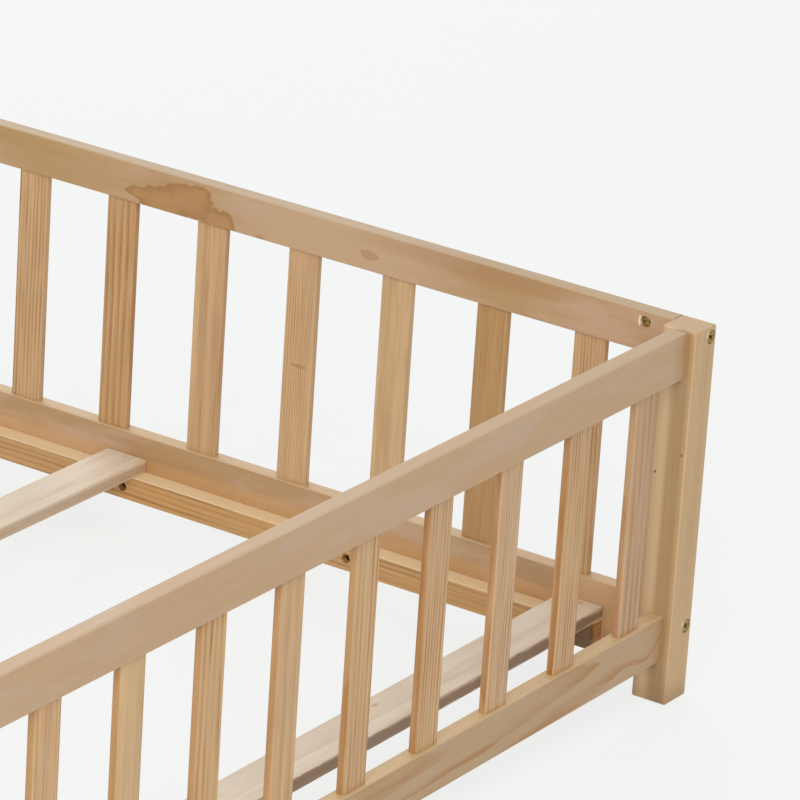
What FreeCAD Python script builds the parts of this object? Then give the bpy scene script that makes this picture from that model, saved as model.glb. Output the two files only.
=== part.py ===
# Low wooden floor bed with a slatted fence on all four sides.
#
# X runs along the length, Y across the width, Z up. The origin is on the floor under the middle
# of the bed. Back is +Y, front is -Y (the side with the way in), right is +X and left is -X.
# Two end panels are glued up with their corner posts. The long side panels are bolted between
# them. Slats across the bed lie on ledgers along the long sides and on a bearer in the middle.

import FreeCAD, Part
import os

Vector = FreeCAD.Vector

# ---------------------------------------------------------------- driving sizes, millimetres

# corner posts
post_size = 35.0
post_height = 355.0
post_edge = 1.6

# boards of the fence
rail_thickness = 16.0
rail_edge = 1.4
side_top_rail_height = 38.0
side_low_rail_height = 59.0
side_low_rail_lift = 30.0
end_top_rail_height = 44.0
end_top_rail_drop = 1.0
end_low_rail_height = 44.0
end_low_rail_lift = 40.0

# upright slats of the fence
slat_width = 33.0
slat_thickness = 8.0
slat_edge = 2.0
slat_tenon = 10.0
most_rounding = 0.45
side_slat_count = 18
side_slat_pitch = 103.5
side_slat_first = 86.0
end_slat_count = 13
end_slat_pitch = 106.5
end_slat_first = 51.0

# way in at the front: slats on each side of it, and the stile that closes each fence part
guard_slat_count = 6
stile_width = 38.0
stile_corner = 10.0

# glued joints
tenon_thickness = 8.0
most_tenon = 0.6
tenon_length = 16.0
tenon_shoulder = 5.0
wood_fit = 0.1
tenon_end_gap = 0.3

# knock-down bolts and barrel nuts
bolt_diameter = 6.0
bolt_length = 62.0
bolt_head_diameter = 12.4
bolt_head_height = 2.4
bolt_head_rounding = 0.6
bolt_head_fit = 0.3
bolt_recess = 0.8
bolt_socket = 4.0
bolt_socket_depth = 1.6
bolt_hole_fit = 0.2
bolt_end_gap = 1.0
top_bolt_below_rail_top = 10.0
low_bolt_below_rail_top = 20.0
barrel_diameter = 10.0
barrel_length = 10.0
barrel_from_post = 28.0
barrel_fit = 0.4
barrel_slot = 1.2

# locating dowels beside the bolts
dowel_diameter = 8.0
dowel_length = 30.0
dowel_below_bolt = 18.0
dowel_fit = 0.1

# ledgers and the middle bearer
ledger_depth = 20.0
ledger_height = 24.0
ledger_from_post = 47.5
ledger_edge = 1.0
ledger_screw_end = 26.0
ledger_screw_second = 266.0
ledger_screw_pitch = 257.0
ledger_screw_count = 3
screw_shank = 4.0
screw_head = 7.4
screw_head_height = 2.6
screw_head_rim = 0.5
screw_bore = 9.0
screw_bore_depth = 6.0
screw_grip = 11.0
screw_cross = 4.0
screw_cross_width = 1.0
screw_cross_depth = 1.5
bearer_width = 24.0
bearer_foot_length = 60.0
bearer_foot_from_end = 150.0

# slats across the bed
base_slat_width = 46.0
base_slat_thickness = 12.7
base_slat_edge = 1.0
base_slat_end_gap = 0.5
base_slat_second = 510.0
brad_from_end = 7.0
brad_off_centre = 3.5
brad_head_length = 4.6
brad_head_width = 2.4
brad_head_height = 1.0
brad_recess = 1.2
brad_shank = 1.4
brad_length = 28.0
brad_turn = 43.0
brad_fit = 0.05

# how far a cutting tool reaches past the face that it opens, and how close two places are to be one
overreach = 1.0
same_place = 1e-3

# ---------------------------------------------------------------- sizes that follow

inner_length = 2 * side_slat_first + (side_slat_count - 1) * side_slat_pitch
inner_width = 2 * end_slat_first + (end_slat_count - 1) * end_slat_pitch
bed_length = inner_length + 2 * post_size
bed_width = inner_width + 2 * post_size

half_length = bed_length / 2
half_width = bed_width / 2
post_inner_x = inner_length / 2
post_inner_y = inner_width / 2

side_rail_y = half_width - rail_thickness / 2
side_rail_inner_y = half_width - rail_thickness
end_rail_x = half_length - post_size / 2

side_low_rail_top = side_low_rail_lift + side_low_rail_height
side_top_rail_bottom = post_height - side_top_rail_height
end_low_rail_top = end_low_rail_lift + end_low_rail_height
end_top_rail_top = post_height - end_top_rail_drop
end_top_rail_bottom = end_top_rail_top - end_top_rail_height

top_bolt_z = post_height - top_bolt_below_rail_top
low_bolt_z = side_low_rail_top - low_bolt_below_rail_top
joint_heights = [top_bolt_z, low_bolt_z]
bolt_seat_depth = bolt_recess + bolt_head_height
barrel_x = post_inner_x - barrel_from_post
barrel_recess = (rail_thickness - barrel_length) / 2

stile_x = post_inner_x - side_slat_first - guard_slat_count * side_slat_pitch
stile_outer_x = stile_x + stile_width / 2

ledger_half_length = post_inner_x - ledger_from_post
ledger_top = side_low_rail_lift + ledger_height
ledger_inner_y = side_rail_inner_y - ledger_depth

base_slat_half_length = side_rail_inner_y - base_slat_end_gap
base_slat_end_x = ledger_half_length - base_slat_width / 2
base_slat_second_x = base_slat_end_x - base_slat_second
base_slat_top = ledger_top + base_slat_thickness

joint_tenon = min(tenon_thickness, most_tenon * rail_thickness)

SIDES = {"back": 1, "front": -1}
ENDS = {"right": 1, "left": -1}


# ---------------------------------------------------------------- helpers

def block(x0, x1, y0, y1, z0, z1):
    """Box between two corners, given in any order."""
    low = Vector(min(x0, x1), min(y0, y1), min(z0, z1))
    return Part.makeBox(abs(x1 - x0), abs(y1 - y0), abs(z1 - z0), low)


def rod(start, direction, diameter, length):
    """Cylinder that starts at a point and runs along a direction."""
    return Part.makeCylinder(diameter / 2, length, start, direction)


def runs_along(edge, axis):
    """True for a straight edge parallel to an axis."""
    start = edge.Vertexes[0].Point
    end = edge.Vertexes[-1].Point
    direction = end.sub(start)
    if direction.Length < same_place:
        return False
    return abs(direction.normalize().dot(axis)) > 0.999


def eased(shape, radius, axis=None):
    """Round the straight edges of a block: all of them, or those along one axis."""
    edges = [edge for edge in shape.Edges if axis is None or runs_along(edge, axis)]
    return shape.makeFillet(radius, edges)


def edge_limit(radius, thickness):
    """A rounding can't be larger than nearly half of its board."""
    return min(radius, most_rounding * thickness)


def cut_all(shape, tools):
    """Cut every tool out of a shape."""
    return shape.cut(Part.makeCompound(tools))


def one_solid(shape):
    """Take the single solid out of the result of a cut or a join."""
    assert len(shape.Solids) == 1
    return shape.Solids[0]


def save(name, solids):
    """Write one node: a single piece, or a group of separate identical pieces."""
    shape = solids[0]
    if len(solids) > 1:
        shape = Part.makeCompound(solids)
    for solid in solids:
        assert solid.isValid() and solid.Volume > 0
    shape.exportStep("parts/" + name + ".step")


X = Vector(1, 0, 0)
Y = Vector(0, 1, 0)
Z = Vector(0, 0, 1)


# ---------------------------------------------------------------- places of what repeats

def side_slat_places():
    """X of each upright slat of a full side panel, from right to left."""
    start = post_inner_x - side_slat_first
    return [start - i * side_slat_pitch for i in range(side_slat_count)]


def guard_slat_places():
    """X of the front slats: the same spacing, in from each post, up to the stiles."""
    right = side_slat_places()[:guard_slat_count]
    return right + [-x for x in right]


def end_slat_places():
    """Y of each upright slat of an end panel, from back to front."""
    start = post_inner_y - end_slat_first
    return [start - i * end_slat_pitch for i in range(end_slat_count)]


def ledger_screw_places():
    """X of the screws in a ledger: one near each end, the others at a steady pitch."""
    right = [ledger_half_length - ledger_screw_end]
    for i in range(ledger_screw_count):
        right.append(ledger_half_length - ledger_screw_second - i * ledger_screw_pitch)
    return right + [-x for x in right]


def base_slat_places():
    """X of the slats across the bed, from right to left."""
    return [base_slat_end_x, base_slat_second_x, 0.0, -base_slat_second_x, -base_slat_end_x]


def brad_places():
    """Centre of each brad head seen from above: one at each end of each base slat."""
    y = base_slat_half_length - brad_from_end
    places = []
    for x in base_slat_places():
        shift = brad_off_centre if x >= 0 else -brad_off_centre
        places.append((x + shift, y))
        places.append((x + shift, -y))
    return places


# ---------------------------------------------------------------- fence slats

def upright_slat(x, y, z0, z1, along, grow=0.0):
    """Upright fence slat with rounded edges. Its wide face lies along X or along Y."""
    wide = slat_width / 2 + grow
    thick = slat_thickness / 2 + grow
    if along == "x":
        body = block(x - wide, x + wide, y - thick, y + thick, z0, z1)
    else:
        body = block(x - thick, x + thick, y - wide, y + wide, z0, z1)
    return eased(body, edge_limit(slat_edge, slat_thickness) + grow, Z)


def side_slat(x, y):
    """Slat of a side panel, let into both rails."""
    z0 = side_low_rail_top - slat_tenon
    z1 = side_top_rail_bottom + slat_tenon
    return upright_slat(x, y, z0, z1, "x")


def end_slat(x, y):
    """Slat of an end panel, let into both rails."""
    z0 = end_low_rail_top - slat_tenon
    z1 = end_top_rail_bottom + slat_tenon
    return upright_slat(x, y, z0, z1, "y")


def slat_mortise(x, y, z, along, up):
    """Blind slot for a slat's end, cut up or down into a rail from its edge at z."""
    depth = slat_tenon + tenon_end_gap
    if up:
        return upright_slat(x, y, z - slat_width, z + depth, along, wood_fit)
    return upright_slat(x, y, z - depth, z + slat_width, along, wood_fit)


# ---------------------------------------------------------------- bolts, barrel nuts and dowels

def bolt(end, side, z):
    """Furniture bolt with a flat head and a hex socket, through a post into a side rail."""
    inward = X * -end
    y = side * side_rail_y
    face = Vector(end * (half_length - bolt_recess), y, z)
    seat = face + inward * bolt_head_height
    head = rod(face, inward, bolt_head_diameter, bolt_head_height)
    rim = [edge for edge in head.Edges if abs(edge.BoundBox.Center.x - face.x) < same_place]
    head = head.makeFillet(edge_limit(bolt_head_rounding, bolt_head_height), rim)
    shank = rod(seat, inward, bolt_diameter, bolt_length)
    socket = Part.makePolygon(hexagon(face, bolt_socket, y, z))
    pocket = Part.Face(socket).extrude(inward * bolt_socket_depth)
    return one_solid(head.fuse(shank).removeSplitter().cut(pocket))


def hexagon(face, across_flats, y, z):
    """Closed loop of the corners of a hexagon in the plane of a bolt's head."""
    reach = across_flats / 3 ** 0.5
    corners = []
    for i in range(7):
        arm = FreeCAD.Rotation(X, 60.0 * i).multVec(Z * reach)
        corners.append(Vector(face.x, y, z) + arm)
    return corners


def bolt_way(end, side, z):
    """Clearance for a bolt: the recess for its head and the long hole for its shank."""
    inward = X * -end
    face = Vector(end * (half_length + overreach), side * side_rail_y, z)
    seat = overreach + bolt_seat_depth
    recess = rod(face, inward, bolt_head_diameter + 2 * bolt_head_fit, seat)
    hole = rod(face, inward, bolt_diameter + 2 * bolt_hole_fit, seat + bolt_length + bolt_end_gap)
    return [recess, hole]


def barrel_nut(end, side, z):
    """Slotted cross dowel whose threaded hole takes the bolt."""
    outward = Y * side
    face = Vector(end * barrel_x, side * (side_rail_inner_y + barrel_recess), z)
    body = rod(face, outward, barrel_diameter, barrel_length)
    through = Vector(end * barrel_x - barrel_diameter, side * side_rail_y, z)
    thread = rod(through, X, bolt_diameter + 2 * wood_fit, 2 * barrel_diameter)
    slot = block(face.x - barrel_diameter, face.x + barrel_diameter, face.y,
                 face.y + side * barrel_slot, z - barrel_slot / 2, z + barrel_slot / 2)
    return one_solid(cut_all(body, [thread, slot]))


def barrel_way(end, side, z):
    """Blind hole for a barrel nut, from the inner face of a side rail."""
    face = Vector(end * barrel_x, side * (side_rail_inner_y - overreach), z)
    depth = overreach + barrel_recess + barrel_length + tenon_end_gap
    return rod(face, Y * side, barrel_diameter + 2 * barrel_fit, depth)


def dowel(end, side, z, grow=0.0, extra=0.0):
    """Wooden dowel, half in the post and half in the end of a side rail."""
    length = dowel_length + 2 * extra
    start = Vector(post_inner_x * end - length / 2, side * side_rail_y, z - dowel_below_bolt)
    return rod(start, X, dowel_diameter + 2 * grow, length)


def dowel_way(end, side, z):
    """Hole for a dowel, a little wider and longer than it."""
    return dowel(end, side, z, dowel_fit, tenon_end_gap)


def joint_ways(end, side, z):
    """All that is drilled for one bolted joint."""
    return bolt_way(end, side, z) + [barrel_way(end, side, z), dowel_way(end, side, z)]


# ---------------------------------------------------------------- end panels

def end_rail_tenon(end, side, z0, z1, grow=0.0, extra=0.0):
    """Tenon of an end rail in a post, or with grow and extra its mortise."""
    half = joint_tenon / 2 + grow
    x = end * end_rail_x
    y0 = side * (post_inner_y - overreach)
    y1 = side * (post_inner_y + tenon_length + extra)
    z_low = z0 + tenon_shoulder - grow
    z_high = z1 - tenon_shoulder + grow
    return block(x - half, x + half, y0, y1, z_low, z_high)


def end_rail(end, z0, z1, slat_edge_z, up):
    """Rail between two posts, with a tenon at each end and a row of slots for the slats."""
    x = end * end_rail_x
    half = rail_thickness / 2
    body = block(x - half, x + half, -post_inner_y, post_inner_y, z0, z1)
    body = eased(body, edge_limit(rail_edge, rail_thickness), Y)
    tenons = [end_rail_tenon(end, side, z0, z1) for side in SIDES.values()]
    body = body.fuse(tenons)
    slots = [slat_mortise(x, y, slat_edge_z, "y", up) for y in end_slat_places()]
    return one_solid(cut_all(body, slots))


def end_top_rail(end):
    return end_rail(end, end_top_rail_bottom, end_top_rail_top, end_top_rail_bottom, True)


def end_low_rail(end):
    return end_rail(end, end_low_rail_lift, end_low_rail_top, end_low_rail_top, False)


def corner_post(end, side):
    """Square post with mortises for the end rails and drillings for the side rails."""
    body = block(end * post_inner_x, end * half_length, side * post_inner_y, side * half_width,
                 0, post_height)
    body = eased(body, edge_limit(post_edge, post_size))
    tools = []
    for z in joint_heights:
        tools += bolt_way(end, side, z)
        tools.append(dowel_way(end, side, z))
    for z0, z1 in [(end_low_rail_lift, end_low_rail_top), (end_top_rail_bottom, end_top_rail_top)]:
        tools.append(end_rail_tenon(end, side, z0, z1, wood_fit, tenon_end_gap))
    return one_solid(cut_all(body, tools))


# ---------------------------------------------------------------- side panels

def side_rail_board(side, x0, x1, z0, z1):
    """Plain board of a side panel, flush with the outside of the posts, with eased arrises."""
    body = block(x0, x1, side * side_rail_inner_y, side * half_width, z0, z1)
    return eased(body, edge_limit(rail_edge, rail_thickness), X)


def back_top_rail():
    body = side_rail_board(1, -post_inner_x, post_inner_x, side_top_rail_bottom, post_height)
    tools = [slat_mortise(x, side_rail_y, side_top_rail_bottom, "x", True)
             for x in side_slat_places()]
    for end in ENDS.values():
        tools += joint_ways(end, 1, top_bolt_z)
    return one_solid(cut_all(body, tools))


def low_rail(side, slat_places, extra_tools):
    """Deep board at the foot of a side panel. It carries the ledger on its inner face."""
    y = side * side_rail_y
    body = side_rail_board(side, -post_inner_x, post_inner_x, side_low_rail_lift, side_low_rail_top)
    tools = [slat_mortise(x, y, side_low_rail_top, "x", False) for x in slat_places]
    tools += [screw_way(side, x) for x in ledger_screw_places()]
    for end in ENDS.values():
        tools += joint_ways(end, side, low_bolt_z)
    return one_solid(cut_all(body, tools + extra_tools))


def back_low_rail():
    return low_rail(1, side_slat_places(), [])


def front_low_rail():
    mortises = [stile_tenon(end, wood_fit, tenon_end_gap) for end in ENDS.values()]
    return low_rail(-1, guard_slat_places(), mortises)


def guard_tenon(end, grow=0.0, extra=0.0):
    """Tenon of a front top rail in its stile, or with grow and extra its mortise."""
    half = joint_tenon / 2 + grow
    y = -side_rail_y
    x0 = end * (stile_outer_x + overreach)
    x1 = end * (stile_outer_x - tenon_length - extra)
    z0 = side_top_rail_bottom + tenon_shoulder - grow
    z1 = post_height - tenon_shoulder - stile_corner + grow
    return block(x0, x1, y - half, y + half, z0, z1)


def front_top_rail(end):
    """Short top rail of the front fence, from a post to the stile beside the way in."""
    body = side_rail_board(-1, end * stile_outer_x, end * post_inner_x,
                           side_top_rail_bottom, post_height)
    body = body.fuse(guard_tenon(end))
    tools = [slat_mortise(x, -side_rail_y, side_top_rail_bottom, "x", True)
             for x in guard_slat_places() if x * end > 0]
    tools += joint_ways(end, -1, top_bolt_z)
    return one_solid(cut_all(body, tools))


def stile_tenon(end, grow=0.0, extra=0.0):
    """Tenon at the foot of a stile, or with grow and extra its mortise in the low rail."""
    half_x = stile_width / 2 - tenon_shoulder + grow
    half_y = joint_tenon / 2 + grow
    x = end * stile_x
    y = -side_rail_y
    z0 = side_low_rail_top - tenon_length - extra
    z1 = side_low_rail_top + overreach
    return block(x - half_x, x + half_x, y - half_y, y + half_y, z0, z1)


def gate_stile(end):
    """Stile beside the way in, with a rounded top corner on that side."""
    x_in = end * (stile_x - stile_width / 2)
    x_out = end * stile_outer_x
    body = block(x_in, x_out, -side_rail_inner_y, -half_width, side_low_rail_top, post_height)
    corner = [edge for edge in body.Edges if runs_along(edge, Y)
              and edge.BoundBox.Center.z > post_height - same_place
              and abs(edge.BoundBox.Center.x - x_in) < same_place]
    body = body.makeFillet(edge_limit(stile_corner, stile_width), corner)
    faces = [face for face in body.Faces if abs(face.normalAt(0, 0).dot(Y)) > 0.999]
    rims = []
    for face in faces:
        rims += [edge for edge in face.Edges
                 if edge.BoundBox.Center.z > side_low_rail_top + same_place]
    body = body.makeFillet(edge_limit(rail_edge, rail_thickness), rims)
    body = body.fuse(stile_tenon(end))
    return one_solid(body.cut(guard_tenon(end, wood_fit, tenon_end_gap)))


# ---------------------------------------------------------------- ledgers, bearer and base slats

def ledger_screw(side, x):
    """Countersunk wood screw with a cross recess, deep in a bore of the ledger."""
    outward = Y * side
    z = side_low_rail_lift + ledger_height / 2
    face = Vector(x, side * (ledger_inner_y + screw_bore_depth), z)
    head = Part.makeCone(screw_head / 2, screw_shank / 2, screw_head_height, face, outward)
    head = rod(face - outward * screw_head_rim, outward, screw_head, screw_head_rim).fuse(head)
    shank = rod(face, outward, screw_shank, ledger_depth - screw_bore_depth + screw_grip)
    top_y = face.y - side * screw_head_rim
    deep_y = top_y + side * screw_cross_depth
    half = screw_cross_width / 2
    reach = screw_cross / 2
    bar = block(x - reach, x + reach, top_y, deep_y, z - half, z + half)
    post = block(x - half, x + half, top_y, deep_y, z - reach, z + reach)
    return one_solid(cut_all(head.fuse(shank).removeSplitter(), [bar, post]))


def screw_way(side, x):
    """Bore, countersink and pilot for one ledger screw, through the ledger into the rail."""
    outward = Y * side
    z = side_low_rail_lift + ledger_height / 2
    start = Vector(x, side * (ledger_inner_y - overreach), z)
    seat = Vector(x, side * (ledger_inner_y + screw_bore_depth), z)
    bore = rod(start, outward, screw_bore, overreach + screw_bore_depth)
    grown_head = screw_head / 2 + wood_fit
    grown_shank = screw_shank / 2 + wood_fit
    sink = Part.makeCone(grown_head, grown_shank, screw_head_height, seat, outward)
    depth = ledger_depth - screw_bore_depth + screw_grip + tenon_end_gap
    hole = rod(seat, outward, 2 * grown_shank, depth)
    return bore.fuse([sink, hole])


def brad(x, y, grow=0.0, above=0.0):
    """Flat-headed brad, driven a little below the face of a base slat."""
    top = base_slat_top - brad_recess
    half_l = brad_head_length / 2 + grow
    half_w = brad_head_width / 2 + grow
    head = block(-half_l, half_l, -half_w, half_w, top - brad_head_height - grow, top + above)
    half_s = brad_shank / 2 + grow
    shank = block(-half_s, half_s, -half_s, half_s, top - brad_length - grow, top)
    shape = head.fuse(shank).removeSplitter()
    turn = brad_turn if x * y > 0 else -brad_turn
    shape.rotate(Vector(0, 0, 0), Z, turn)
    shape.translate(Vector(x, y, 0))
    return one_solid(shape)


def brad_ways():
    """Holes of all the brads, open at the top."""
    return [brad(x, y, brad_fit, base_slat_thickness) for x, y in brad_places()]


def ledger(side):
    """Strip along the foot of a side panel that the base slats rest on."""
    body = block(-ledger_half_length, ledger_half_length, side * ledger_inner_y,
                 side * side_rail_inner_y, side_low_rail_lift, ledger_top)
    body = eased(body, edge_limit(ledger_edge, ledger_depth), X)
    tools = [screw_way(side, x) for x in ledger_screw_places()] + brad_ways()
    return one_solid(cut_all(body, tools))


def base_slat(x):
    """Slat across the bed, with eased edges all round."""
    half = base_slat_width / 2
    body = block(x - half, x + half, -base_slat_half_length, base_slat_half_length,
                 ledger_top, base_slat_top)
    body = eased(body, edge_limit(base_slat_edge, base_slat_thickness))
    return one_solid(cut_all(body, brad_ways()))


def centre_bearer():
    """Bearer under the middle of the base slats, and the three blocks that it stands on."""
    half = bearer_width / 2
    body = block(-ledger_half_length, ledger_half_length, -half, half,
                 side_low_rail_lift, ledger_top)
    pieces = [eased(body, edge_limit(ledger_edge, bearer_width), X)]
    foot_x = ledger_half_length - bearer_foot_from_end
    for x in [-foot_x, 0.0, foot_x]:
        foot = block(x - bearer_foot_length / 2, x + bearer_foot_length / 2, -half, half,
                     0, side_low_rail_lift)
        pieces.append(eased(foot, edge_limit(ledger_edge, bearer_width), Z))
    return pieces


# ---------------------------------------------------------------- build

def build():
    os.makedirs("parts", exist_ok=True)

    for side_name, side in SIDES.items():
        for end_name, end in ENDS.items():
            save("corner_post_" + side_name + "_" + end_name, [corner_post(end, side)])

    for end_name, end in ENDS.items():
        save(end_name + "_end_top_rail", [end_top_rail(end)])
        save(end_name + "_end_low_rail", [end_low_rail(end)])
        save("front_top_rail_" + end_name, [front_top_rail(end)])

    save("back_top_rail", [back_top_rail()])
    save("back_low_rail", [back_low_rail()])
    save("front_low_rail", [front_low_rail()])
    save("gate_stiles", [gate_stile(end) for end in ENDS.values()])

    for i, x in enumerate(side_slat_places()):
        save("back_slat_%02d" % (i + 1), [side_slat(x, side_rail_y)])
    for i, y in enumerate(end_slat_places()):
        save("right_end_slat_%02d" % (i + 1), [end_slat(end_rail_x, y)])
    save("left_end_slats", [end_slat(-end_rail_x, y) for y in end_slat_places()])
    save("front_slats", [side_slat(x, -side_rail_y) for x in guard_slat_places()])

    for side_name, side in SIDES.items():
        save(side_name + "_ledger", [ledger(side)])
    save("centre_bearer", centre_bearer())
    for i, x in enumerate(base_slat_places()):
        save("base_slat_%d" % (i + 1), [base_slat(x)])

    corners = [(end, side, z) for end in ENDS.values() for side in SIDES.values()
               for z in joint_heights]
    save("bolts", [bolt(end, side, z) for end, side, z in corners])
    save("barrel_nuts", [barrel_nut(end, side, z) for end, side, z in corners])
    save("dowels", [dowel(end, side, z) for end, side, z in corners])
    save("ledger_screws", [ledger_screw(side, x) for side in SIDES.values()
                           for x in ledger_screw_places()])
    save("slat_brads", [brad(x, y) for x, y in brad_places()])

    print("length", bed_length, "width", bed_width, "height", post_height)
    print("between posts", inner_length, "by", inner_width)
    print("way in", 2 * (stile_x - stile_width / 2))


build()
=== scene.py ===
# Looks of the low pine floor bed.
#
# X runs along the length, Y across the width, Z up, in metres. The photographed corner is the back
# right one. Every board is clear pine with its own growth rings: each has a pith line somewhere
# beside it, and the rings round that line give straight stripes, flames or end-grain arcs by
# themselves, as sawing does.

import math
import random

import bmesh
import bpy
from mathutils import Matrix, Vector


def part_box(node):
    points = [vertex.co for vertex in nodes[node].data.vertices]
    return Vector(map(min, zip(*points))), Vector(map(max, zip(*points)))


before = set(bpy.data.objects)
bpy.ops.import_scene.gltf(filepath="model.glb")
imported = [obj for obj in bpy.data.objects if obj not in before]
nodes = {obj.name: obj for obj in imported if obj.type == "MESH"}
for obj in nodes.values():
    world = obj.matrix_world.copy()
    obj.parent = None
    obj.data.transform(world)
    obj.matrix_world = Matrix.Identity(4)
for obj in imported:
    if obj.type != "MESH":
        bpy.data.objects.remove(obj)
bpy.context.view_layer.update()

MM = 0.001

# the foot of the photographed post, at its front outer edge: marks are placed from here
post_low, post_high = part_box("corner_post_back_right")
post_foot = Vector((post_high.x, post_low.y, 0.0))


# ---------------------------------------------------------------- colours and nodes

EASED = {"interpolation_type": "SMOOTHSTEP"}  # one range eased into another, held at the ends
COLOURS = {"data_type": "RGBA"}               # a mix of colours: share 0, colours 6 and 7, output 2


def linear(hex_colour):
    """An sRGB hex colour as linear red, green, blue and alpha."""
    values = [int(hex_colour[i:i + 2], 16) / 255 for i in (1, 3, 5)]
    curve = [v / 12.92 if v <= 0.04045 else ((v + 0.055) / 1.055) ** 2.4 for v in values]
    return (*curve, 1.0)


# metres between crests of noise at scale 1, about: 1.4 without detail, and less with it
NOISE_CREST = 1.17


def fineness(mm):
    """Scale, as a whole number, of a noise texture with crests about this far apart."""
    return round(NOISE_CREST / (mm * MM))


def add(tree, kind, settings=(), inputs=(), output=0):
    """Add one node and give one of its outputs. A single word for its settings is its operation.
    Inputs are given by name or in order, each as a link, a value or a hex colour."""
    node = tree.nodes.new("ShaderNode" + kind)
    chosen = {"operation": settings} if isinstance(settings, str) else dict(settings)
    for name, value in chosen.items():
        setattr(node, name, value)
    given = inputs if isinstance(inputs, dict) else dict(enumerate(inputs))
    for name, value in given.items():
        socket = node.inputs[name]
        if isinstance(value, bpy.types.NodeSocket):
            tree.links.new(value, socket)
        else:
            socket.default_value = linear(value) if isinstance(value, str) else value
    return None if output is None else node.outputs[output]


def new_material(name):
    """An empty material with its shader, and the tree that they are in."""
    material = bpy.data.materials.new(name)
    material.use_nodes = True
    tree = material.node_tree
    tree.nodes.clear()
    shader = add(tree, "BsdfPrincipled").node
    add(tree, "OutputMaterial", {}, {"Surface": shader.outputs[0]}, output=None)
    return material, tree, shader


# ---------------------------------------------------------------- pine

# patterns are read this much slower along the grain, so that they come out long
GRAIN_SQUEEZE = 0.1
# streaks and fibres are longer still
FIBRE_SQUEEZE = 0.35
# a wave texture of scale 1 draws one ring in this many metres
WAVE_TURN = 2 * math.pi / 20
# noise strays from its middle by about a quarter, so a push is this many times its reach
NOISE_SWING = 4
# what noise rarely leaves
NOISE_RANGE = (0.3, 0.7)

# how far apart the crests of each pattern are
WANDER_WAVE_MM = 130  # slow wandering of the rings
CROWD_WAVE_MM = 19.5  # rings crowding together and apart
LINE_BREAK_MM = 9.75  # stretches of stronger and weaker line
STREAK_MM = 4.5       # streaks of the wood
SPECK_MM = 1.8        # specks of the sanded surface
FIBRE_MM = 1.3        # fibres, drawn coarser than real ones, which are too fine to show

# within one ring, from 0 to 1: where its brown is full, and where it starts to fall
LINE_FULL = 0.90
LINE_FALLS = 0.92
# the weakest and strongest stretches of a ring, as shares of its late_share
LINE_WEIGHTS = (0.25, 1.15)

# in millimetres from a board's side: where each mask starts, and where it is full
ARRIS_MM = (1.3, 0.4)
NARROW_FACE_MM = (1.6, 0.4)
SAWN_END_MM = (0.4, 0.2)

# where the patches of pinker wood start and are full, in their noise
PATCH_RANGE = (0.42, 0.62)
# what the masks tint the wood: painted shade on the narrow faces, a painted highlight over paler sanded
# wood on the arrises, and browner end grain on the sawn ends
NARROW_FACE_SHADE = "#a87238"
ARRIS_SANDED_AND_HIGHLIGHT = "#dcc5a2"
SAWN_END_BROWN = "#a87c50"

# the streaks set the gloss: the part of their range that is used, and the lacquer's roughness
# from the glossiest streak to the dullest
GLOSS_RANGE = (0.2, 0.8)
LACQUER_ROUGHNESS = (0.40, 0.54)
# height of the fibres, and how much of it shows
FIBRE_RELIEF_MM = 0.1
RELIEF_SHARE = 0.2

# how far equal pieces in one node are moved apart in the wood that they are cut from, in metres
CUT_APART = (0.03, 0.03, 0.03)

# turns that bring each grain direction upright
GRAIN_TURN = {"x": (0, -math.pi / 2, 0), "y": (math.pi / 2, 0, 0), "z": (0, 0, 0)}
# grain and thin direction of boards whose thin direction comes first once they are upright
THIN_FIRST = {("z", "x"), ("x", "z"), ("y", "x")}

DEFAULTS = dict(
    early="#cda87c",   # pale spring wood between the rings
    late="#a8713a",    # brown summer wood of the rings
    late_share=0.55,   # how much of the brown shows
    ring_mm=4.5,       # distance from ring to ring
    line_from=0.25,    # where in a ring the brown begins: later gives thinner lines
    pith_mm=90.0,      # how far away the pith is
    pith_side=10.0,    # degrees: 0 is in line with the wide face (stripes), 90 behind it (flames)
    lean=(0.0, 0.0),   # lean of the pith against the board, degrees in the squeezed space
    wander_mm=3.0,     # how far the pith wanders
    crowd_mm=1.3,      # how far rings crowd together here and spread apart there
    wobble=1.0,        # small unevenness of each ring
    mottle=0.5,        # patches of pinker wood
    pink="#c49f78",
    patch_mm=42,       # how far apart the patches are
    patch_squeeze=1.0, # more makes the patches shorter along the grain
    streak=0.07,       # strength of the streaks between the rings
    fibre=0.045,       # and of the fine fibres
    speckle=0.03,      # and of the sanded surface's specks
    arris=0.35,        # how much paler the long edges are: sanded wood and a painted highlight
    narrow=0.1,        # how much painted shade browns the narrow faces
    end_grain=0.35,    # how much browner the sawn ends are
    seed=0.0,          # where along the tree the board was cut
    bends=(),          # places where the grain swings round something
    marks=(),          # stains, knots and worn places
    repeat=None,       # axis, pitch and first place of identical pieces in one node
    piece_half=None,   # and half of such a piece's width along that axis
)


def repeated(tree, place, axis, pitch, first):
    """Places seen from the nearest of many equal pieces, and a random vector for each piece."""
    i = "xyz".index(axis)
    split = add(tree, "SeparateXYZ", {}, [place]).node
    along = add(tree, "Math", "SUBTRACT", [split.outputs[i], first * MM])
    index = add(tree, "Math", "ROUND", [add(tree, "Math", "DIVIDE", [along, pitch * MM])])
    back = add(tree, "Math", "MULTIPLY_ADD", [index, pitch * MM, first * MM])
    step = add(tree, "CombineXYZ", {}, {i: back})
    draw = add(tree, "TexWhiteNoise", {"noise_dimensions": "1D"}, {"W": index}, "Color")
    return add(tree, "VectorMath", "SUBTRACT", [place, step]), draw


def counted(tree, place, centre, reach):
    """Offset from a centre, which is in mm from the post's foot, counted in its reach."""
    offset = add(tree, "VectorMath", "SUBTRACT", [place, post_foot + Vector(centre) * MM])
    return add(tree, "VectorMath", "DIVIDE", [offset, Vector(reach) * MM])


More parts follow.
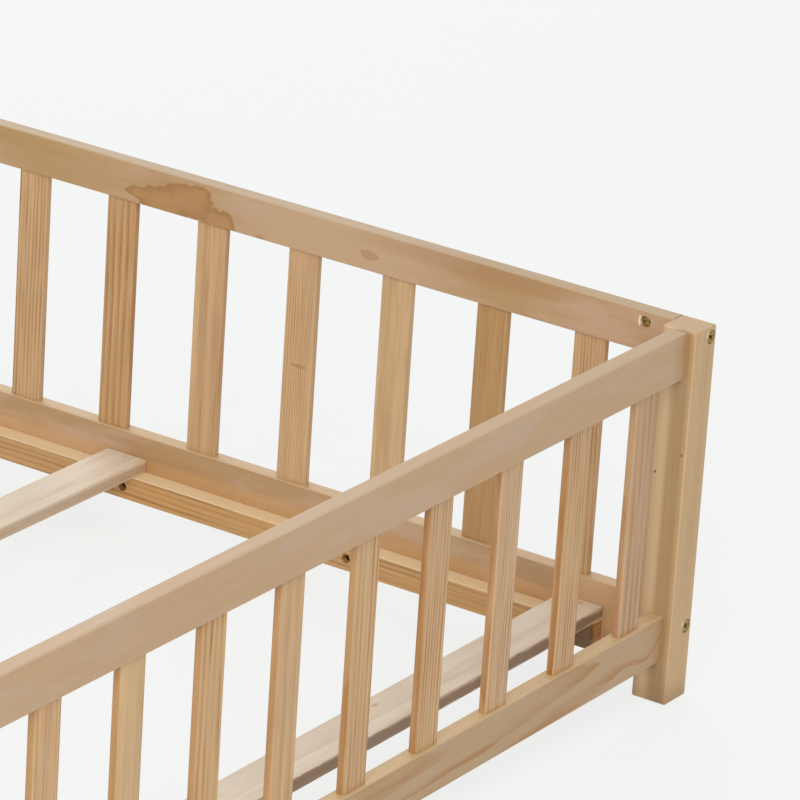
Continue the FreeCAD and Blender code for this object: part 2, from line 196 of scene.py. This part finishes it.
def bent(tree, place, centre, reach, lift):
    """Swing the grain by lift, in mm, near a centre, fading out smoothly over its reach."""
    far = counted(tree, place, centre, reach)
    square = add(tree, "VectorMath", "DOT_PRODUCT", [far, far], "Value")
    hill = add(tree, "Math", "POWER", [1 / math.e, square])
    push = add(tree, "VectorMath", "SCALE", {0: Vector(lift) * MM, "Scale": hill})
    return add(tree, "VectorMath", "SUBTRACT", [place, push])


# how far egg shapes of one mark melt together, and where a mark's rim begins and is darkest
EGGS_MELT = 0.2
RIM = (0.45, 0.95)


def marked(tree, place, colour, tint, strength, eggs, soft=0.3, ragged=0.0, grit_mm=19.5, rim=None):
    """Tint a region of merged egg shapes, each a centre and half sizes in mm from the post's foot.
    Soft is how far its outline fades, ragged how far it strays, and grit_mm how coarsely.
    A rim colour makes it darker towards its outline, as a dried stain is."""
    far = None
    for centre, reach in eggs:
        one = add(tree, "VectorMath", "LENGTH", [counted(tree, place, centre, reach)], "Value")
        far = add(tree, "Math", "SMOOTH_MIN", [far, one, EGGS_MELT]) if far else one
    if ragged:
        rough = add(tree, "TexNoise", {}, {"Vector": place, "Scale": fineness(grit_mm), "Detail": 4.0})
        stray = add(tree, "Math", "SUBTRACT", [rough, 0.5])
        far = add(tree, "Math", "MULTIPLY_ADD", [stray, ragged, far])
    if rim:
        outer = add(tree, "MapRange", EASED, [far, *RIM])
        tint = add(tree, "Mix", COLOURS, {0: outer, 6: tint, 7: rim}, 2)
    share = add(tree, "MapRange", EASED, [far, 1 + soft, 1 - soft, 0.0, strength])
    return add(tree, "Mix", COLOURS, {0: share, 6: colour, 7: tint}, 2)


def swayed(tree, place, wave_mm, reach_mm):
    """Push places about by up to about reach_mm, in waves of about wave_mm."""
    waves = add(tree, "TexNoise", {}, {
        "Vector": place, "Scale": fineness(wave_mm), "Detail": 1.0}, "Color")
    centred = add(tree, "VectorMath", "SUBTRACT", [waves, (0.5, 0.5, 0.5)])
    push = [NOISE_SWING * reach_mm * MM] * 3
    return add(tree, "VectorMath", "MULTIPLY_ADD", [centred, push, place])


def growth_rings(tree, place, c):
    """Brown ring lines as a share of summer wood: each darkens slowly outwards and ends sharply."""
    wandered = swayed(tree, place, WANDER_WAVE_MM, c["wander_mm"])
    wandered = swayed(tree, wandered, CROWD_WAVE_MM, c["crowd_mm"])
    ring_looks = {"wave_type": "RINGS", "rings_direction": "Z", "wave_profile": "SAW"}
    rings = add(tree, "TexWave", ring_looks, {
        "Vector": wandered, "Scale": WAVE_TURN / (c["ring_mm"] * MM), "Distortion": c["wobble"],
        "Detail": 2.0, "Detail Scale": 1.0, "Detail Roughness": 0.6}, "Fac")
    rise = add(tree, "MapRange", EASED, [rings, c["line_from"], LINE_FULL])
    fall = add(tree, "MapRange", EASED, [rings, 1.0, LINE_FALLS])
    uneven = add(tree, "TexNoise", {}, {
        "Vector": wandered, "Scale": fineness(LINE_BREAK_MM), "Detail": 1.0})
    weights = [share * c["late_share"] for share in LINE_WEIGHTS]
    weight = add(tree, "MapRange", EASED, [uneven, *NOISE_RANGE, *weights])
    line = add(tree, "Math", "MULTIPLY", [rise, fall])
    return add(tree, "Math", "MULTIPLY", [line, weight])


def edge_masks(tree, offset, half, grain):
    """Where a board's narrow faces, its long edges and its sawn ends are."""
    far = add(tree, "SeparateXYZ", {}, [add(tree, "VectorMath", "ABSOLUTE", [offset])]).node.outputs

    def near(i, starts, full):
        return add(tree, "MapRange", EASED, [far[i], half[i] - starts * MM, half[i] - full * MM])

    along = "xyz".index(grain)
    cross = [i for i in range(3) if i != along]
    across = max(cross, key=lambda i: half[i])
    arris = add(tree, "Math", "MULTIPLY", [near(i, *ARRIS_MM) for i in cross])
    return near(across, *NARROW_FACE_MM), arris, near(along, *SAWN_END_MM)


def pine(name, grain, low, high, thin_first, **choices):
    """Clear planed pine under a thin satin lacquer: brown ring lines on golden tan wood, streaks
    and fibres along the grain, pinker patches, arrises paler from sanding and a painted highlight,
    narrow faces browned by painted shade, and a soft sheen."""
    c = {**DEFAULTS, **choices}
    material, tree, shader = new_material(name)
    place = add(tree, "TexCoord", output="Object")
    own_place, draw = place, None
    centre, half = (low + high) / 2, (high - low) / 2
    if c["repeat"]:
        own_place, draw = repeated(tree, place, *c["repeat"])
        i = "xyz".index(c["repeat"][0])
        centre[i] = 0.0
        half[i] = c["piece_half"] * MM
    swung = own_place
    for bend in c["bends"]:
        swung = bent(tree, swung, **bend)
    local = add(tree, "VectorMath", "SUBTRACT", [swung, centre])
    if draw:
        local = add(tree, "VectorMath", "MULTIPLY_ADD", [draw, CUT_APART, local])

    # the pith line, seen from the middle of the board
    side = math.radians(c["pith_side"])
    across = Vector((math.cos(side), math.sin(side))) * c["pith_mm"] * MM
    if thin_first:
        across = Vector((across.y, across.x))
    squeeze = [GRAIN_SQUEEZE if axis == grain else 1.0 for axis in "xyz"]
    lean = [math.radians(a) for a in c["lean"]]
    upright = add(tree, "Mapping", {}, {
        "Vector": local, "Rotation": GRAIN_TURN[grain], "Scale": squeeze})
    turned = add(tree, "Mapping", {}, {
        "Vector": upright, "Rotation": (*lean, 0), "Location": (*across, c["seed"])})

    brown = growth_rings(tree, turned, c)
    short = add(tree, "VectorMath", "MULTIPLY", [turned, (1, 1, c["patch_squeeze"])])
    patches = add(tree, "TexNoise", {}, {
        "Vector": short, "Scale": fineness(c["patch_mm"]), "Detail": 3.0})
    patch = add(tree, "MapRange", EASED, [patches, *PATCH_RANGE, 0.0, c["mottle"]])
    between = add(tree, "Mix", COLOURS, {0: patch, 6: c["early"], 7: c["pink"]}, 2)
    ringed = add(tree, "Mix", COLOURS, {0: brown, 6: between, 7: c["late"]}, 2)

    thin = add(tree, "VectorMath", "MULTIPLY", [turned, (1, 1, FIBRE_SQUEEZE)])
    streak = add(tree, "TexNoise", {}, {"Vector": thin, "Scale": fineness(STREAK_MM), "Detail": 2.0})
    fibre = add(tree, "TexNoise", {}, {"Vector": thin, "Scale": fineness(FIBRE_MM), "Detail": 2.0})
    speck = add(tree, "TexNoise", {}, {"Vector": place, "Scale": fineness(SPECK_MM), "Detail": 2.0})
    shade = 1.0
    for pattern, strength in ((streak, c["streak"]), (fibre, c["fibre"]), (speck, c["speckle"])):
        swing = add(tree, "MapRange", EASED, [pattern, *NOISE_RANGE, 1 - strength, 1 + strength])
        shade = add(tree, "Math", "MULTIPLY", [shade, swing])
    colour = add(tree, "VectorMath", "SCALE", {0: ringed, "Scale": shade})

    from_centre = add(tree, "VectorMath", "SUBTRACT", [own_place, centre])
    narrow, arris, end = edge_masks(tree, from_centre, half, grain)
    # painted shade browns the narrow faces, a painted highlight over paler sanded wood lightens the
    # arrises, and the sawn ends take their browner end grain
    for mask, strength, tint in (
            (narrow, c["narrow"], NARROW_FACE_SHADE), (arris, c["arris"], ARRIS_SANDED_AND_HIGHLIGHT),
            (end, c["end_grain"], SAWN_END_BROWN)):
        share = add(tree, "Math", "MULTIPLY", [mask, strength])
        colour = add(tree, "Mix", COLOURS, {0: share, 6: colour, 7: tint}, 2)
    for mark in c["marks"]:
        colour = marked(tree, place, colour, **mark)

    relief = add(tree, "Bump", {}, {
        "Strength": RELIEF_SHARE, "Distance": FIBRE_RELIEF_MM * MM, "Height": fibre})
    gloss = add(tree, "MapRange", EASED, [streak, *GLOSS_RANGE, *LACQUER_ROUGHNESS])
    tree.links.new(colour, shader.inputs["Base Color"])
    tree.links.new(relief, shader.inputs["Normal"])
    tree.links.new(gloss, shader.inputs["Roughness"])
    return material


# ---------------------------------------------------------------- fittings

# how far apart worn spots of the brass, crystals of the zinc and flecks of the beech are
WORN_SPOT_MM = 2.25
CRYSTAL_MM = 1.3
FLECK_MM = 1.3


def brass():
    """Antique-plated brass of bolts and barrel nuts: dark, with random spots worn to yellow."""
    material, tree, shader = new_material("antique_brass")
    place = add(tree, "TexCoord", output="Object")
    spots = add(tree, "TexNoise", {}, {"Vector": place, "Scale": fineness(WORN_SPOT_MM), "Detail": 3.0})
    worn = add(tree, "MapRange", EASED, [spots, 0.35, 0.7])
    colour = add(tree, "Mix", COLOURS, {0: worn, 6: "#6e5832", 7: "#c8ad6c"}, 2)
    tree.links.new(colour, shader.inputs["Base Color"])
    shader.inputs["Metallic"].default_value = 1.0
    shader.inputs["Roughness"].default_value = 0.38
    return material


def zinc():
    """Dull zinc plate of wood screws and brads: dark grey with small paler crystals."""
    material, tree, shader = new_material("dull_zinc_steel")
    place = add(tree, "TexCoord", output="Object")
    crystals = add(tree, "TexNoise", {}, {"Vector": place, "Scale": fineness(CRYSTAL_MM), "Detail": 2.0})
    colour = add(tree, "Mix", COLOURS, {0: crystals, 6: "#2e2b28", 7: "#5f5b55"}, 2)
    tree.links.new(colour, shader.inputs["Base Color"])
    shader.inputs["Metallic"].default_value = 1.0
    shader.inputs["Roughness"].default_value = 0.45
    return material


def beech():
    """Bare turned beech of the dowels: pinkish tan with short darker flecks."""
    material, tree, shader = new_material("beech_dowels")
    place = add(tree, "TexCoord", output="Object")
    drawn_out = add(tree, "VectorMath", "MULTIPLY", [place, (0.15, 1, 1)])
    spots = add(tree, "TexNoise", {}, {
        "Vector": drawn_out, "Scale": fineness(FLECK_MM), "Detail": 1.0})
    flecks = add(tree, "MapRange", EASED, [spots, 0.5, 0.7])
    colour = add(tree, "Mix", COLOURS, {0: flecks, 6: "#c79d74", 7: "#a87a50"}, 2)
    tree.links.new(colour, shader.inputs["Base Color"])
    shader.inputs["Roughness"].default_value = 0.6
    return material


# ---------------------------------------------------------------- what each board is like

# middle and reach in mm of a mark so wide that only its height counts
LAYER_MIDDLE = (-900, -300)
LAYER_REACH = (3000, 3000)


def layer(z, half, tint, strength, soft):
    """Mark for all wood near a height of z mm above the floor."""
    return dict(tint=tint, strength=strength, soft=soft,
                eggs=[((*LAYER_MIDDLE, z), (*LAYER_REACH, half))])


# tops are painted paler: painted light and sheen from above
def painted_top_light(z, tint, strength):
    """Mark for the top face of a board whose top is z mm above the floor: painted light and sheen from
    above, with some of the top's own tint.
    """
    return layer(z + 0.8, 1.3, tint, strength, 0.3)


STRIPED = dict(pith_side=4, pith_mm=110, wander_mm=1.5, wobble=0.4)
# end slats: stronger painted shade on their narrow faces
STRIPED_END = dict(STRIPED, narrow=0.36)
RAIL = dict(pith_side=82, pith_mm=70, ring_mm=9, late_share=0.16, line_from=0.1, mottle=0.9,
            streak=0.02, fibre=0.02, wander_mm=6, wobble=2.0, early="#b99468", late="#9f7443",
            pink="#c6a485", patch_mm=34, patch_squeeze=2.6, arris=0.45)
SAWN = dict(early="#ead9c3", late="#cfb291", pink="#e3cfb8", late_share=0.45, pith_side=78,
            pith_mm=60, ring_mm=7, line_from=0.1, arris=0.5, mottle=0.6, streak=0.03, fibre=0.03)

BOARDS = {
    "back_slat_01": dict(STRIPED, ring_mm=3.6, late_share=0.75, lean=(0, 9)),
    "back_slat_02": dict(STRIPED, ring_mm=2.6, late_share=0.55, early="#ba925f", pink="#b08a5e"),
    "back_slat_03": dict(pith_side=84, pith_mm=45, ring_mm=8, late_share=0.25, early="#d0ae82"),
    "back_slat_04": dict(STRIPED, ring_mm=2.7, late_share=0.6, early="#cfab80", marks=[
        dict(tint="#8a6238", strength=0.35, ragged=0.8, eggs=[((-430, 23, 204), (9, 6, 1.8))])]),
    "back_slat_05": dict(STRIPED, ring_mm=17, late_share=0.55, line_from=0.2, pith_mm=101),
    "back_slat_06": dict(STRIPED, ring_mm=7.5, late_share=0.8, line_from=0.15, early="#c79d66"),
    "back_slat_07": dict(STRIPED, ring_mm=4.0, late_share=0.95, line_from=0.35),
    "right_end_slat_01": dict(STRIPED, ring_mm=8.5, late_share=0.7, line_from=0.3,
                              early="#c39e78", pink="#bf9a80"),
    "right_end_slat_02": dict(STRIPED_END, ring_mm=4.3, late_share=1.0, early="#cfa978"),
    "right_end_slat_03": dict(STRIPED_END, ring_mm=3.9, late_share=0.75, early="#cfab82",
                              pink="#c9a788"),
    "right_end_slat_04": dict(STRIPED_END, ring_mm=4.5, late_share=0.95, early="#d2ac7c"),
    "right_end_slat_05": dict(STRIPED_END, ring_mm=6.2, late_share=0.85, line_from=0.3,
                              early="#cfa97a"),
    "right_end_slat_06": dict(STRIPED_END, ring_mm=12, late_share=0.35, early="#cfa97a"),
    "right_end_slat_07": dict(STRIPED_END, ring_mm=7.6, late_share=0.95, early="#cfa876"),
    # slat 8 has the strongest painted shade on its narrow faces
    "right_end_slat_08": dict(pith_side=80, pith_mm=60, ring_mm=9, late_share=0.3,
                              early="#d2ae7e", narrow=0.45),
    "right_end_slat_09": dict(STRIPED_END, ring_mm=4.5, late_share=0.5, early="#cfa97a"),
    "corner_post_back_right": dict(
        pith_side=80, pith_mm=140, ring_mm=5.5, late_share=0.2, arris=0.5, end_grain=0.2,
        streak=0.04, fibre=0.03, early="#cba77b", pink="#c9a87c", marks=[
            # a greyer band and a paler one on the front face, and two pin knots
            dict(tint="#8f7350", strength=0.5, soft=0.35, eggs=[((-11, -1, 170), (7.5, 4, 500))]),
            dict(tint="#e3c7a0", strength=0.6, soft=0.4, eggs=[((-27, -1, 170), (5.5, 4, 500))]),
            dict(tint="#6d4a28", strength=0.9, soft=0.2, ragged=0.3,
                 eggs=[((-4.3, 0, 240), (1.0, 3, 1.5)), ((-29.8, 0, 218), (1.0, 3, 1.6))]),
            # darker at the foot
            dict(tint="#7d6344", strength=0.35, soft=0.6, eggs=[((-8, -1, 6), (9, 5, 34))]),
            dict(tint="#8a6a45", strength=0.4, soft=0.6, eggs=[((-17, 17, -4), (50, 50, 18))]),
            # pale torn wood round the bolt heads
            dict(tint="#ecd9b6", strength=0.8, ragged=0.6, grit_mm=3.9,
                 eggs=[((0, 21, 348), (2, 2.2, 3.2)), ((0, 21, 72), (2, 2.2, 3.2))]),
            # painted light and sheen on the top
            painted_top_light(355, "#e0c9a2", 0.2)]),
    "back_top_rail": dict(RAIL, marks=[
        # golden, pinkish and browner stretches
        dict(tint="#b8935f", strength=0.6, soft=0.6, eggs=[((-700, 19, 336), (75, 20, 40))]),
        dict(tint="#cbab8b", strength=0.7, soft=0.6, eggs=[((-400, 19, 336), (120, 20, 40))]),
        dict(tint="#a67c50", strength=0.45, soft=0.6, eggs=[((-250, 19, 348), (95, 20, 11))]),
        # the dried stain and its two small spots
        dict(tint="#b3844f", rim="#a2713c", strength=0.82, soft=0.04, ragged=0.8, grit_mm=10.6,
             eggs=[((-615, 19, 328), (16, 8, 6)), ((-588, 19, 325), (30, 8, 15)),
                   ((-562, 19, 334), (30, 8, 16)), ((-549, 19, 342), (15, 8, 9)),
                   ((-525, 19, 321), (20, 8, 13))]),
        dict(tint="#a97d4b", strength=0.55, soft=0.1, ragged=1.0, grit_mm=10.6,
             eggs=[((-478, 19, 318.6), (5, 5, 2.6)), ((-357, 19, 332.5), (10, 5, 4.4))]),
        # painted light and sheen on the top
        painted_top_light(355, "#bea67f", 0.6),
        # bare pale wood at the rim of the barrel nut's hole, and painted light on the hole's shaded
        # inner wall
        dict(tint="#f4e4c6", strength=1.0, soft=0.2, eggs=[((-68.8, 20.4, 345), (1.7, 2.6, 5.5))])]),
    "back_low_rail": dict(RAIL, mottle=1.0, early="#b8946a", pink="#c4a484", late_share=0.3, marks=[
        dict(tint="#7e5a3c", strength=0.5, ragged=0.6, eggs=[((-106, 19, 71), (1.7, 4, 1.7))]),
        # painted light bounced from the ledger's top onto the rail's face just above it
        layer(56, 12, "#d9a66c", 0.38, 0.5),
        # painted light in the shaded corner by the post
        dict(tint="#e2b98e", strength=0.6, soft=0.6, eggs=[((-82, 19, 68), (42, 20, 36))]),
        # painted light and sheen on the top
        painted_top_light(89, "#d9b88a", 0.65)]),
    "right_end_top_rail": dict(RAIL, pith_mm=95, ring_mm=12, late_share=0.08, early="#c2a07a",
                               # painted light and sheen on the top
                               pink="#c4a68a", marks=[painted_top_light(354, "#d0b88c", 0.2)]),
    "right_end_low_rail": dict(
        RAIL, pith_side=78, pith_mm=52, ring_mm=7, lean=(0, 14), late_share=0.8, line_from=0.4,
        mottle=0.6, early="#bb9b74", pink="#be9f7e", late="#ac773d",
        # painted light and sheen on the top
        marks=[painted_top_light(84, "#d8b98a", 0.7)], bends=[
            dict(centre=(-17, -24, 62), reach=(40, 24, 60), lift=(0, 0, -9)),
            dict(centre=(-17, 8, 62), reach=(40, 16, 60), lift=(0, 0, 14))]),
    "back_ledger": dict(
        STRIPED, ring_mm=5.5, late_share=0.6, line_from=0.35, early="#c8985c", late="#8a5f2b",
        mottle=0.3, marks=[
            # painted light and sheen on the top, strong because the ledger sits in shade
            painted_top_light(54, "#f6dcb2", 0.95),
            # painted shade on the ledger's end, under the first base slat
            dict(tint="#4a3015", strength=0.8, soft=0.4, ragged=0.5,
                 eggs=[((-98, -1, 38), (24, 8, 40))])]),
    "base_slat_1": dict(SAWN, marks=[
        # the side face: its own brown streaks, darkened further by painted shade
        dict(tint="#7d5c3f", strength=0.75, soft=0.2, ragged=0.9, grit_mm=26,
             eggs=[((-81, -500, 60), (5, 900, 6))]),
        # painted shade round a brad's recess
        dict(tint="#b98b67", strength=0.6, ragged=0.6, eggs=[((-115.8, -295.7, 67), (2, 5, 3))])]),
    "base_slat_2": dict(SAWN, marks=[
        dict(tint="#b89a7c", strength=0.6, soft=0.1, eggs=[((-591, -500, 60), (5, 900, 5.6))])]),
    "base_slat_3": dict(SAWN, pith_mm=80),
    "base_slat_4": dict(SAWN, pith_mm=75),
    "base_slat_5": dict(SAWN, pith_mm=90),
}


def slat_row(first, second, axis):
    """Pitch and half width, in mm, of a row of equal slats along an axis, from two neighbours."""
    i = "xyz".index(axis)
    low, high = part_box(first)
    pitch = abs(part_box(second)[0][i] - low[i])
    return round(pitch / MM, 3), round((high[i] - low[i]) / 2 / MM, 3)


end_pitch, end_half = slat_row("right_end_slat_01", "right_end_slat_02", "y")
side_pitch, side_half = slat_row("back_slat_01", "back_slat_02", "x")

# nodes that hold many equal slats: an end has a slat in its middle, and a long side a gap
GROUPS = {
    "left_end_slats": dict(STRIPED, repeat=("y", end_pitch, 0.0), piece_half=end_half),
    "front_slats": dict(STRIPED, repeat=("x", side_pitch, side_pitch / 2), piece_half=side_half),
}


def dress(name, material):
    mesh = nodes[name].data
    mesh.materials.clear()
    mesh.materials.append(material)


def board(name, choices):
    """Give one board its pine, with drawn settings where none were chosen for it."""
    low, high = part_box(name)
    size = dict(zip("xyz", high - low))
    grain = max(size, key=size.get)
    thin_axis = min(size, key=size.get)
    if name in GROUPS:
        grain = "z"
        thin_axis = "x" if choices["repeat"][0] == "y" else "y"
    draw = random.Random(name)
    own = dict(seed=draw.uniform(-5, 5), ring_mm=draw.uniform(2.6, 6.5), pith_mm=draw.uniform(90, 130),
               late_share=draw.uniform(0.4, 0.75), lean=(draw.uniform(-3, 3), draw.uniform(-3, 3)))
    own.update(choices)
    dress(name, pine("pine_" + name, grain, low, high, (grain, thin_axis) in THIN_FIRST, **own))


def dress_all():
    plated = brass()
    dull = zinc()
    fittings = {"bolts": plated, "barrel_nuts": plated, "ledger_screws": dull, "slat_brads": dull,
                "dowels": beech()}
    chosen = {**BOARDS, **GROUPS}
    for name in nodes:
        if name in fittings:
            dress(name, fittings[name])
        else:
            board(name, chosen.get(name, RAIL if "rail" in name else {}))


dress_all()


# ---------------------------------------------------------------- floor, light and camera

BACKGROUND = "#f3f5f4"
FLOOR_GLOW = "#f8faf9"
# how much of the floor is drawn plain, without light and shadow
FLOOR_PLAIN_SHARE = 0.8
FLOOR_REACH = 30.0
PAPER_CLOUD_MM = 390
AIR_COLOUR = "#fdfcfa"
AIR_STRENGTH = 0.62
SOFT_BOX_SIZE = 3.0


def straight_seen(tree):
    """1 for what the camera or a mirror-like surface sees directly, and 0 for light."""
    path = add(tree, "LightPath").node
    return add(tree, "Math", "MAXIMUM", [
        path.outputs["Is Camera Ray"], path.outputs["Is Glossy Ray"]])


def floor_finish():
    """Pale studio paper: most of it is drawn plain, so that the object's shadow stays faint."""
    material, tree, shader = new_material("pale_paper_floor")
    place = add(tree, "TexCoord", output="Object")
    clouds = add(tree, "TexNoise", {}, {
        "Vector": place, "Scale": fineness(PAPER_CLOUD_MM), "Detail": 2.0})
    paper = add(tree, "Mix", COLOURS, {0: clouds, 6: "#f2f4f3", 7: "#f0f2f1"}, 2)
    tree.links.new(paper, shader.inputs["Base Color"])
    shader.inputs["Roughness"].default_value = 0.9
    glow = add(tree, "Emission", {}, {"Color": FLOOR_GLOW, "Strength": 1.0})
    share = add(tree, "Math", "MULTIPLY", [straight_seen(tree), FLOOR_PLAIN_SHARE])
    mixed = add(tree, "MixShader", {}, [share, shader.outputs[0], glow])
    tree.links.new(mixed, tree.nodes["Material Output"].inputs["Surface"])
    return material


def studio_floor():
    mesh = bpy.data.meshes.new("studio_floor")
    shape = bmesh.new()
    bmesh.ops.create_grid(shape, x_segments=1, y_segments=1, size=FLOOR_REACH)
    shape.to_mesh(mesh)
    shape.free()
    mesh.materials.append(floor_finish())
    floor = bpy.data.objects.new("studio_floor", mesh)
    bpy.context.scene.collection.objects.link(floor)


def studio_air():
    """Even light from all round. The camera and gloss see the plain background instead."""
    world = bpy.data.worlds.new("studio")
    bpy.context.scene.world = world
    world.use_nodes = True
    tree = world.node_tree
    tree.nodes.clear()
    soft = add(tree, "Background", {}, {"Color": AIR_COLOUR, "Strength": AIR_STRENGTH})
    seen = add(tree, "Background", {}, {"Color": BACKGROUND, "Strength": 1.0})
    mixed = add(tree, "MixShader", {}, [straight_seen(tree), soft, seen])
    add(tree, "OutputWorld", {}, {"Surface": mixed}, output=None)


def soft_box(name, place, watts, colour="#ffffff"):
    """A large square lamp that faces the floor at the middle of the bed."""
    lamp = bpy.data.lights.new(name, "AREA")
    lamp.shape = "SQUARE"
    lamp.size = SOFT_BOX_SIZE
    lamp.energy = watts
    lamp.color = linear(colour)[:3]
    holder = bpy.data.objects.new(name, lamp)
    holder.location = place
    holder.rotation_euler = Vector(place).to_track_quat("Z", "Y").to_euler()
    bpy.context.scene.collection.objects.link(holder)


# the photograph's view: straight at a point above the right end's top rail. Angles are in
# degrees, lens and sensor in mm, the rest in metres.
CAMERA_AZIMUTH = 32.80
CAMERA_ELEVATION = 21.36
CAMERA_ROLL = 3.775
CAMERA_DISTANCE = 4.564
CAMERA_LENS = 255.56
CAMERA_SENSOR = 36.0
CAMERA_TARGET = Vector((0.99125, 0.23710, 0.42265))


def look():
    """Set the camera where the photograph was taken from."""
    data = bpy.data.cameras.new("camera")
    data.lens = CAMERA_LENS
    data.sensor_width = CAMERA_SENSOR
    camera = bpy.data.objects.new("camera", data)
    bpy.context.scene.collection.objects.link(camera)
    bpy.context.scene.camera = camera
    a = math.radians(CAMERA_AZIMUTH)
    e = math.radians(CAMERA_ELEVATION)
    back = Vector((math.sin(a) * math.cos(e), -math.cos(a) * math.cos(e), math.sin(e)))
    aim = (-back).to_track_quat("-Z", "Y").to_matrix()
    roll = Matrix.Rotation(math.radians(CAMERA_ROLL), 3, "Z")
    place = Matrix.Translation(CAMERA_TARGET + back * CAMERA_DISTANCE)
    camera.matrix_world = place @ (aim @ roll).to_4x4()


studio_floor()
studio_air()
soft_box("key_soft_box", place=(2.6, -3.4, 3.0), watts=115)
soft_box("back_soft_box", place=(-2.8, 3.4, 3.2), watts=65, colour="#f2f7ff")
look()
bpy.context.scene.view_settings.view_transform = "Standard"
